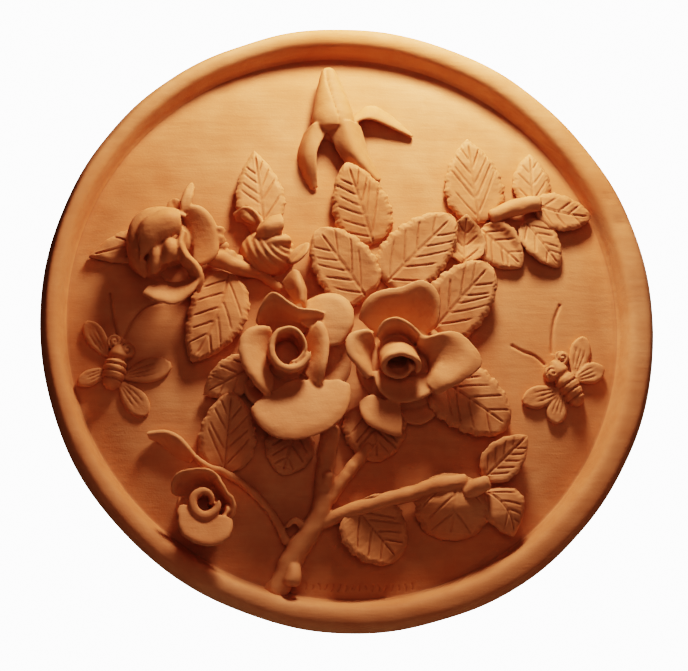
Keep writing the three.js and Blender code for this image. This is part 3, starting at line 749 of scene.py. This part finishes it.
LEAVES_RIGHT = [
    dict(base=(73, 60), tip=(67, 110), width=35, lift=[4, 6, 6.5], cup=1, counts=(5, 4), slants=(40, 34),
         point=0.85),
    dict(base=(105, 72), tip=(104.5, 104), width=23, lift=[5, 5, 3.5], counts=(3, 3),
         slants=(42, 38), point=0.85),
    dict(base=(107, 72), tip=(139.5, 67), width=22, lift=[6, 7, 5.5], cup=1, bend=2, counts=(3, 3),
         point=0.6),
    dict(base=(100, 62), tip=(120, 36), width=22, lift=[5, 6, 5], cup=1, curl=(0, 2), counts=(4, 3),
         nicked=0.3),
    dict(base=(74, 56), tip=(98, 35), width=26, lift=[5, 4.5, 5], cup=1, curl=(3, 0), counts=(3, 4),
         nicked=0.4),
    dict(base=(47, -32), tip=(88, -59), width=38, lift=[7, 10, 8], slants=(42, 52),
         point=0.5),
    dict(base=(11, -48), tip=(14, -80), width=36, lift=[5, 6, 4], point=0.5),
]

LEAVES_LEFT = [
    dict(base=(-115, 43), tip=(-148, 34.5), width=19, lift=[5, 5, 5], cup=1, counts=(1, 1), slants=(35, 35),
         point=0.9, widest=0.3, nicked=0),
    dict(base=(-70, 25), tip=(-90, -26), width=33, lift=[7, 9, 7], bend=-3, counts=(4, 5), slants=(40, 55)),
    dict(base=(-51, 53), tip=(-56, 98.5), width=28, lift=[10, 8, 5], counts=(5, 4), slants=(52, 36),
         point=0.9, widest=0.32, nicked=0.5),
    dict(base=(-32, -62), tip=(-39, -88), width=28, lift=[4, 5, 4], counts=(3, 3), point=0.6),
    dict(base=(-71, -87), tip=(-68, -43), width=32, lift=[3, 6, 9], cup=1, slants=(35, 45)),
    dict(base=(-55, -28), tip=(-83, -44), width=22, lift=[7, 8, 7], cup=2, tilt=3, counts=(3, 3)),
]

LEAVES_BELOW = [
    dict(base=(1, -106), tip=(26, -134), width=37, lift=[9, 6, 4], cup=3.5, counts=(4, 3), point=0.5,
         slants=(50, 50)),
    dict(base=(57, -86), tip=(55, -122.5), width=43, lift=[8, 13, 5], cup=-4, counts=(2, 3), point=0.42,
         widest=0.5),
    dict(base=(74, -88), tip=(98.5, -64), width=22, lift=[8, 9, 11], cup=3, counts=(4, 5), point=0.8,
         nicked=0.6),
    dict(base=(75, -96), tip=(91, -120), width=25, lift=[9, 11, 8], cup=-1, bend=-4, counts=(4, 2),
         point=0.8),
]

LEAF_CLUSTERS = [
    ("leaves_above", LEAVES_ABOVE),
    ("leaves_right", LEAVES_RIGHT),
    ("leaves_left", LEAVES_LEFT),
    ("leaves_below", LEAVES_BELOW),
]


# The dish

ANTENNAE = [
    [(-127, -12), (-124, -4), (-119, 3), (-113, 7), (-106, 9)],
    [(-131, -10), (-133, 0), (-134.5, 13)],
    [(115, -14), (115.5, -4), (117, 5), (120.5, 14)],
    [(110.5, -21), (105, -16.5), (98, -14), (92, -11)],
]
RIM_CHIPS = [(157, 62, 3.5, 0.9), (150, 76, 2.5, 0.5), (-72, 152, 4, -0.5), (-150, -78, 4, 0.6)]
STROKE_ROW_START = (-24, -150.5)
STROKE_ROW_LENGTH = 63
STROKE_COUNT = 17


def strokes():
    """Paths of the antennae and of a row of shallow strokes that aren't letters, each with its cut."""
    paths = [(path, ANTENNA_CUT) for path in ANTENNAE]
    random = np.random.default_rng(4)
    for i in range(STROKE_COUNT):
        x = STROKE_ROW_START[0] + STROKE_ROW_LENGTH * (i + 0.5) / STROKE_COUNT
        z = STROKE_ROW_START[1] + 0.0009 * x * x + random.uniform(-0.4, 0.4)
        lean, rise = random.uniform(-0.9, 0.9), random.uniform(0.9, 1.8)
        paths.append(([(x - lean, z - rise), (x + 0.4, z), (x + lean, z + rise)], STROKE_CUT))
    return paths


def to_path(points, path):
    """Distance of each point from a path of places, across the field."""
    fine = stations(path, np.linspace(0, 1, 40))
    place = points[:, None, [0, 2]]
    start, run = fine[:-1], np.diff(fine, axis=0)
    share = np.clip(((place - start) * run).sum(-1) / (run * run).sum(-1), 0, 1)
    return np.linalg.norm(place - (start + run * share[..., None]), axis=-1).min(1)


def dish_profile():
    """The dish's section from the middle of its back round the rim to the middle of its field."""
    back = [(r, 0.0) for r in np.linspace(2, BACK_RADIUS, 24)]
    side = stations([(BACK_RADIUS, 0), (PLAQUE_RADIUS - 3.5, 2.6), (PLAQUE_RADIUS - 0.6, 8),
                     (PLAQUE_RADIUS, WIDEST_OUT + 1), (PLAQUE_RADIUS - 0.7, 17.6),
                     (RIM_CREST_RADIUS + 4.6, RIM_CREST_OUT - 0.8), (RIM_CREST_RADIUS, RIM_CREST_OUT),
                     (RIM_CREST_RADIUS - 4, RIM_CREST_OUT - 1.6), (GROOVE_RADIUS + 2.4, GROOVE_OUT + 6),
                     (GROOVE_RADIUS + 0.6, GROOVE_OUT + 1.6), (GROOVE_RADIUS - 1, GROOVE_OUT - 1)],
                    np.linspace(0, 1, 64)[1:])
    inside = np.linspace(GROOVE_RADIUS - 2, 1.2, 76)
    settle = smooth(0, 16, GROOVE_RADIUS - 2 - inside)
    level = field_out(inside, 0) - 1.3 * (1 - settle)
    return np.concatenate([back, side, np.stack([inside, level], -1)])


def finer(mesh, paths):
    """Divides a dish's mesh twice where something is pressed into its front."""
    for near in (3.2, 2.0):
        mesh.verts.index_update()
        places = np.array([v.co for v in mesh.verts])
        close = np.zeros(len(places), bool)
        candidates = np.nonzero(-places[:, 1] > 5)[0]
        for path, _ in paths:
            close[candidates] |= to_path(places[candidates], path) < near
        edges = [e for e in mesh.edges if close[e.verts[0].index] and close[e.verts[1].index]]
        bmesh.ops.subdivide_edges(mesh, edges=edges, cuts=1, use_grid_fill=True)


def handled(places, paths):
    """Points of a dish's mesh as the hand leaves them. The back stays flat."""
    reach = np.hypot(places[:, 0], places[:, 2])
    proud = smooth(2, 8, -places[:, 1])
    cuts = sum(groove(to_path(places, path), **cut) for path, cut in paths)
    places[:, 1] += proud * (0.3 * unevenness(places, 70, 1) + 0.13 * unevenness(places, 24, 2))
    rim = smooth(GROOVE_RADIUS - 2, RIM_CREST_RADIUS - 3, reach)
    places[:, 1] += rim * proud * (0.35 * unevenness(places, 38, 3) + 0.15)
    places[:, 1] -= proud * (1 - rim) * cuts
    draw = 1 - 0.0022 * rim * (1 + unevenness(places, 60, 5))
    places[:, [0, 2]] *= draw[:, None]
    places[:, 1] += rim * proud * chips(places)
    ring = smooth(120, 150, reach) * (1 - smooth(RIM_CREST_RADIUS - 1, PLAQUE_RADIUS - 1, reach)) * proud
    places[:, [0, 2]] += np.array(GROOVE_SHIFT) * ring[:, None]
    return places


def dish():
    """The dish, turned by hand: a little uneven, with antennae and strokes pressed into its field."""
    around = np.linspace(0, 2 * math.pi, DISH_SIDES, endpoint=False)[None, :]
    radius, out = np.split(dish_profile(), 2, axis=1)
    mesh = filled(*closed_rings(spots(radius * np.cos(around), radius * np.sin(around), out)))
    paths = strokes()
    finer(mesh, paths)
    for vertex, place in zip(mesh.verts, handled(np.array([v.co for v in mesh.verts]), paths)):
        vertex.co = place
    made = mesh_from("dish", mesh)
    made.transform(Matrix.Scale(MM, 4))
    return finish_piece("dish", made)


def chips(places):
    """Small dents that the rim has taken, as depths at points of it, and one crumb, of negative depth."""
    total = 0
    for x, z, size, depth in RIM_CHIPS:
        total = total + depth * np.exp(-(((places[:, 0] - x) ** 2 + (places[:, 2] - z) ** 2) / size**2))
    return total


# Pieces

def filled(points, faces):
    """A mesh to edit, from points and faces. A corner that a face names twice counts once."""
    mesh = bmesh.new()
    corners = [mesh.verts.new(p) for p in points]
    for face in faces.tolist():
        mesh.faces.new([corners[i] for i in dict.fromkeys(face)])
    return mesh


def mesh_from(name, mesh):
    """A finished mesh from one that was edited, with its faces turned outwards."""
    bmesh.ops.recalc_face_normals(mesh, faces=mesh.faces)
    made = bpy.data.meshes.new(name)
    mesh.to_mesh(made)
    mesh.free()
    return made


def mesh_of(name, shapes):
    """A mesh in metres from closed shapes in millimetres."""
    points, faces = joined(shapes)
    return mesh_from(name, filled(points * MM, faces))


def coordinates(mesh, items, key):
    """An array of a mesh's points or normals."""
    values = np.empty(len(mesh.vertices) * 3, np.float32)
    items.foreach_get(key, values)
    return values.reshape(-1, 3).astype(float)


def in_scene(name, data):
    """A new object in the scene."""
    made = bpy.data.objects.new(name, data)
    bpy.context.scene.collection.objects.link(made)
    return made


def finish_piece(name, mesh):
    """Puts a mesh into the scene as a part of the fired clay."""
    piece = in_scene(name, mesh)
    mesh.shade_smooth()
    mesh.materials.append(TERRACOTTA)
    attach(piece, "root")
    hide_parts(NODE)
    return piece


def fused_piece(name, shapes, grain, rounds=3, rough=0.05, seed=0):
    """One closed skin over overlapping shapes, as clay is smoothed together by hand."""
    raw = in_scene(name + "_raw", mesh_of(name + "_raw", shapes))
    skin = raw.modifiers.new("skin", "REMESH")
    skin.mode = "VOXEL"
    skin.voxel_size = grain * MM
    soften = raw.modifiers.new("soften", "SMOOTH")
    soften.factor = 0.5
    soften.iterations = rounds
    seen = raw.evaluated_get(bpy.context.evaluated_depsgraph_get())
    mesh = bpy.data.meshes.new_from_object(seen)
    mesh.name = name
    bpy.data.objects.remove(raw)
    places = coordinates(mesh, mesh.vertices, "co")
    normals = coordinates(mesh, mesh.vertex_normals, "vector")
    swell = rough * (unevenness(places / MM, 7, seed) + 0.5 * unevenness(places / MM, 2.8, seed + 1))
    places += normals * (swell * MM)[:, None]
    mesh.vertices.foreach_set("co", places.astype(np.float32).ravel())
    mesh.update()
    return finish_piece(name, mesh)


# Material

def node(tree, kind, **settings):
    made = tree.nodes.new(kind)
    for name, value in settings.items():
        setattr(made, name, value)
    return made


def noise(tree, coordinates, scale, detail=4.0, roughness=0.55):
    made = node(tree, "ShaderNodeTexNoise")
    made.inputs["Scale"].default_value = scale
    made.inputs["Detail"].default_value = detail
    made.inputs["Roughness"].default_value = roughness
    tree.links.new(coordinates, made.inputs["Vector"])
    return made.outputs["Fac"]


def spread_of(tree, value, low, high, to_low=0.0, to_high=1.0):
    made = node(tree, "ShaderNodeMapRange")
    for name, number in zip(("From Min", "From Max", "To Min", "To Max"), (low, high, to_low, to_high)):
        made.inputs[name].default_value = number
    tree.links.new(value, made.inputs["Value"])
    return made.outputs["Result"]


def blended(tree, share, first, second):
    """A colour between two, each given as a colour or as another node's output."""
    made = node(tree, "ShaderNodeMix", data_type="RGBA")
    tree.links.new(share, made.inputs["Factor"])
    for name, colour in (("A", first), ("B", second)):
        socket = [s for s in made.inputs if s.name == name and s.type == "RGBA"][0]
        if isinstance(colour, tuple):
            socket.default_value = (*colour, 1)
        else:
            tree.links.new(colour, socket)
    return [s for s in made.outputs if s.type == "RGBA"][0]


def bump(tree, height, strength, distance, normal=None):
    """A normal that is shaken by a height, on top of another one."""
    made = node(tree, "ShaderNodeBump")
    made.inputs["Strength"].default_value = strength
    made.inputs["Distance"].default_value = distance
    tree.links.new(height, made.inputs["Height"])
    if normal is not None:
        tree.links.new(normal, made.inputs["Normal"])
    return made.outputs["Normal"]


CLAY = (0.62, 0.31, 0.14)
PALE_CLAY = (0.72, 0.42, 0.22)
RED_CLAY = (0.5, 0.2, 0.075)
# A dark colour that stands in for shade, painted into the clay's recesses
RECESS_SHADE = (0.3, 0.1, 0.03)


def terracotta():
    """Unglazed fired clay: warm, mottled, finely gritty, with painted shade darkening its recesses, and with
    smoothing streaks.
    """
    material = bpy.data.materials.new("terracotta")
    material.use_nodes = True
    tree = material.node_tree
    tree.nodes.clear()
    shader = node(tree, "ShaderNodeBsdfPrincipled")
    output = node(tree, "ShaderNodeOutputMaterial")
    tree.links.new(shader.outputs["BSDF"], output.inputs["Surface"])
    place = node(tree, "ShaderNodeTexCoord").outputs["Object"]
    turned = node(tree, "ShaderNodeMapping")
    turned.inputs["Rotation"].default_value = (0, math.radians(35), 0)
    turned.inputs["Scale"].default_value = (0.12, 1, 1)
    tree.links.new(place, turned.inputs["Vector"])
    clouds = spread_of(tree, noise(tree, place, 9, 3), 0.35, 0.68)
    mottle = spread_of(tree, noise(tree, place, 60, 5), 0.4, 0.7)
    streaks = noise(tree, turned.outputs["Vector"], 260, 5, 0.6)
    colour = blended(tree, clouds, CLAY, PALE_CLAY)
    colour = blended(tree, spread_of(tree, mottle, 0, 1, 0, 0.35), colour, RED_CLAY)
    colour = blended(tree, spread_of(tree, streaks, 0.35, 0.7, 0.0, 0.22), colour, RED_CLAY)
    hollow = node(tree, "ShaderNodeNewGeometry").outputs["Pointiness"]
    # Painted shade: where the surface folds inwards, its colour is darkened towards the shade colour
    colour = blended(tree, spread_of(tree, hollow, 0.5, 0.42, 0, 0.75), colour, RECESS_SHADE)
    colour = blended(tree, spread_of(tree, hollow, 0.52, 0.6, 0, 0.5), colour, PALE_CLAY)
    tree.links.new(colour, shader.inputs["Base Color"])
    grit = noise(tree, place, 900, 3)
    tree.links.new(spread_of(tree, grit, 0.3, 0.7, 0.62, 0.8), shader.inputs["Roughness"])
    shader.inputs["Specular IOR Level"].default_value = 0.35
    gritty = bump(tree, grit, 0.25, 0.4 * MM)
    tree.links.new(bump(tree, streaks, 0.45, 0.6 * MM, gritty), shader.inputs["Normal"])
    return material


# Light, floor and camera

CAMERA_TARGET = (-3.96, 14.0, -7.21)
CAMERA_AZIMUTH = -7
CAMERA_ELEVATION = -13
CAMERA_DISTANCE = 1400
CAMERA_LENS = 129.87

# Lamps, with their places and aims as (x, out, z)
LAMPS = [
    dict(name="key", place=(45, 180, 345), aim=(20, 0, 0), size=105, power=2.75, colour=(1.0, 0.64, 0.52)),
    dict(name="fill", place=(0, 1100, 100), aim=(0, 0, 0), size=900, power=1.5, colour=(1.0, 0.54, 0.4)),
    dict(name="behind", place=(450, -450, 250), aim=(0, 0, 0), size=400, power=4.0, colour=(1.0, 0.8, 0.66)),
]
# The surround's colour and strength, for the light that it gives and as it is seen
SURROUND_LIGHT = ((1.0, 0.5, 0.32), 0.01)
SURROUND_SEEN = ((1, 1, 1), 6)

FLOOR_HALF_WIDTH = 3000
FLOOR_LEVEL = -750
FLOOR_COLOUR = (0.8, 0.79, 0.77)
FLOOR_GLOW = 1.6


def camera():
    """The camera stands a little to the left of the plaque and below it."""
    azimuth, elevation = math.radians(CAMERA_AZIMUTH), math.radians(CAMERA_ELEVATION)
    back = Vector((math.sin(azimuth) * math.cos(elevation), -math.cos(azimuth) * math.cos(elevation),
                   math.sin(elevation)))
    x, out, z = CAMERA_TARGET
    data = bpy.data.cameras.new("camera")
    data.lens = CAMERA_LENS
    data.sensor_width = 36
    made = in_scene("camera", data)
    made.location = (Vector((x, -out, z)) + back * CAMERA_DISTANCE) * MM
    made.rotation_euler = (-back).to_track_quat("-Z", "Y").to_euler()
    bpy.context.scene.camera = made


def area_light(name, place, aim, size, power, colour):
    """A round lamp at a place, turned to its aim."""
    x, out, z = place
    data = bpy.data.lights.new(name, "AREA")
    data.shape = "DISK"
    data.size = size * MM
    data.energy = power
    data.color = colour
    made = in_scene(name, data)
    made.location = Vector((x, -out, z)) * MM
    towards = Vector((aim[0], -aim[1], aim[2])) * MM - made.location
    made.rotation_euler = towards.to_track_quat("-Z", "Y").to_euler()


def light():
    """One warm lamp over the plaque, a dim warm fill, a soft lamp behind it and a pale surround."""
    for lamp in LAMPS:
        area_light(**lamp)
    world = bpy.data.worlds.new("surround")
    world.use_nodes = True
    tree = world.node_tree
    tree.nodes.clear()
    mix = node(tree, "ShaderNodeMixShader")
    tree.links.new(node(tree, "ShaderNodeLightPath").outputs["Is Camera Ray"], mix.inputs["Fac"])
    for i, (colour, strength) in enumerate([SURROUND_LIGHT, SURROUND_SEEN], 1):
        background = node(tree, "ShaderNodeBackground")
        background.inputs["Color"].default_value = (*colour, 1)
        background.inputs["Strength"].default_value = strength
        tree.links.new(background.outputs["Background"], mix.inputs[i])
    tree.links.new(mix.outputs["Shader"], node(tree, "ShaderNodeOutputWorld").inputs["Surface"])
    bpy.context.scene.world = world


def floor():
    """A plain pale floor well below the plaque."""
    half, level = FLOOR_HALF_WIDTH * MM, FLOOR_LEVEL * MM
    mesh = bpy.data.meshes.new("floor")
    corners = [(-half, -half, level), (half, -half, level), (half, half, level), (-half, half, level)]
    mesh.from_pydata(corners, [], [(0, 1, 2, 3)])
    material = bpy.data.materials.new("floor")
    material.use_nodes = True
    tree = material.node_tree
    shader = tree.nodes["Principled BSDF"]
    for key in ("Base Color", "Emission Color"):
        shader.inputs[key].default_value = (*FLOOR_COLOUR, 1)
    glow = node(tree, "ShaderNodeMath", operation="MULTIPLY")
    glow.inputs[1].default_value = FLOOR_GLOW
    tree.links.new(node(tree, "ShaderNodeLightPath").outputs["Is Camera Ray"], glow.inputs[0])
    tree.links.new(glow.outputs["Value"], shader.inputs["Emission Strength"])
    mesh.materials.append(material)
    in_scene("floor", mesh)


TERRACOTTA = terracotta()
camera()
light()
floor()
dish()
for i, (name, leaves) in enumerate(LEAF_CLUSTERS):
    finish_piece(name, mesh_of(name, [leaf(seed=10 * i + 1 + j, **spec) for j, spec in enumerate(leaves)]))
fused_piece("left_rose", left_rose(), ROSE_GRAIN, seed=1)
fused_piece("right_rose", right_rose(), ROSE_GRAIN, seed=2)
fused_piece("half_open_rose", half_open_rose(), ROSE_GRAIN, seed=3)
fused_piece("small_rose", small_rose(), ROSE_GRAIN, seed=4)
fused_piece("pointed_bud", pointed_bud(), ROSE_GRAIN, seed=5)
fused_piece("folded_bud", folded_bud(), ROSE_GRAIN, seed=6)
fused_piece("stems", stems(), STEM_GRAIN, seed=7)
fused_piece("left_bee", bee(seed=101, **LEFT_BEE), BEE_GRAIN, rounds=1, rough=0.06, seed=8)
fused_piece("right_bee", bee(seed=111, **RIGHT_BEE), BEE_GRAIN, rounds=1, rough=0.06, seed=9)

bpy.context.scene.view_settings.view_transform = "Filmic"
bpy.context.scene.view_settings.look = "High Contrast"
